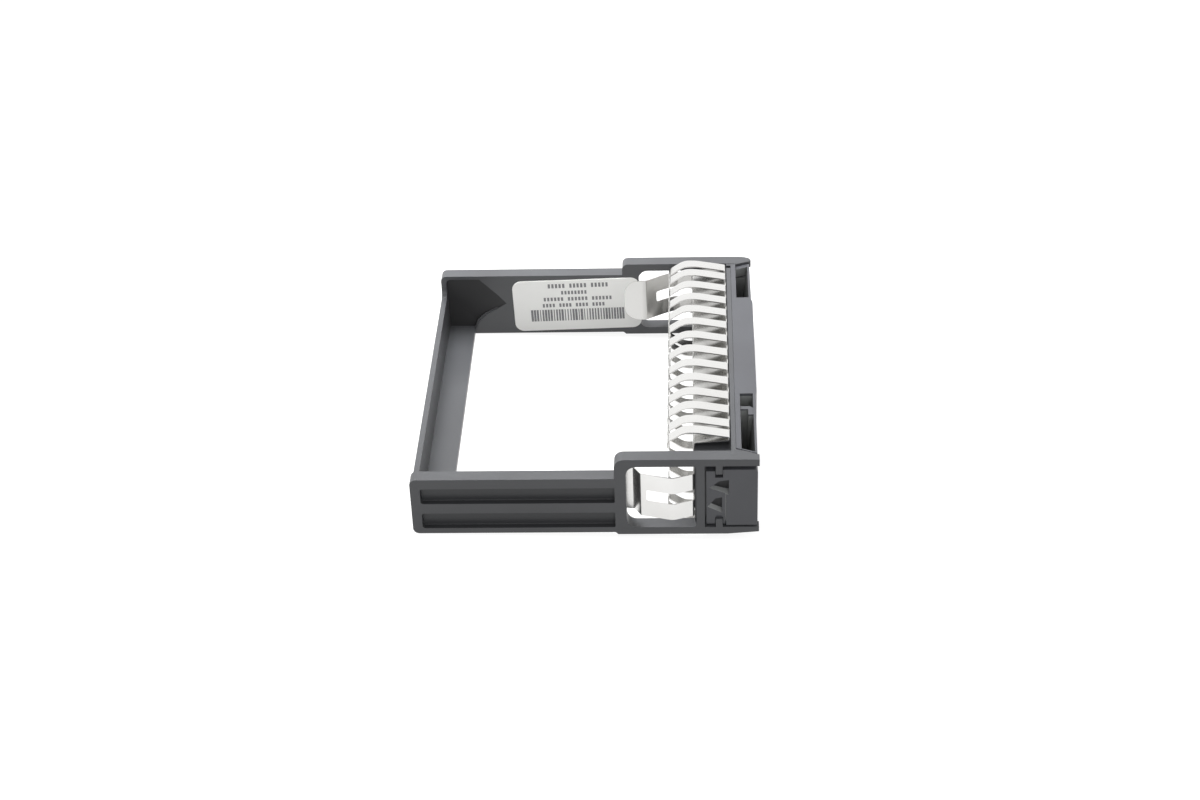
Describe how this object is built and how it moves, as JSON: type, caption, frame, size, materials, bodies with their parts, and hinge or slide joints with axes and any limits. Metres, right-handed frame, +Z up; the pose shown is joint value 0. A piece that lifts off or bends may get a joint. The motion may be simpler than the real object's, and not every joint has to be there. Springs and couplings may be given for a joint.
{
  "type": "drive bay blank filler",
  "caption": "Blank filler for an empty slide-in drive bay: open moulded frame, clipped front bezel and folded spring-finger shielding gasket.",
  "frame": {"origin": "centre of the bounding box in plan, at the height of the lowest spring-finger crests", "axes": "+X from the rear crossbar to the front bezel, along the way the filler is pulled out; +Y across the bay from the near rail to the far rail; +Z up, towards the top row of spring fingers"},
  "size_m": [0.0668, 0.0757, 0.0206],
  "materials": {
    "frame_plastic": "fine moulded texture, dark grey",
    "bezel_plastic": "fine moulded texture, dark grey",
    "spring_steel": "bright rolled spring sheet",
    "label_paper": "matt printed label film"
  },
  "bodies": {
    "root": {"bay_frame": "frame_plastic", "front_bezel": "bezel_plastic", "spring_gasket": "spring_steel", "label": "label_paper"}
  },
  "joints": []
}
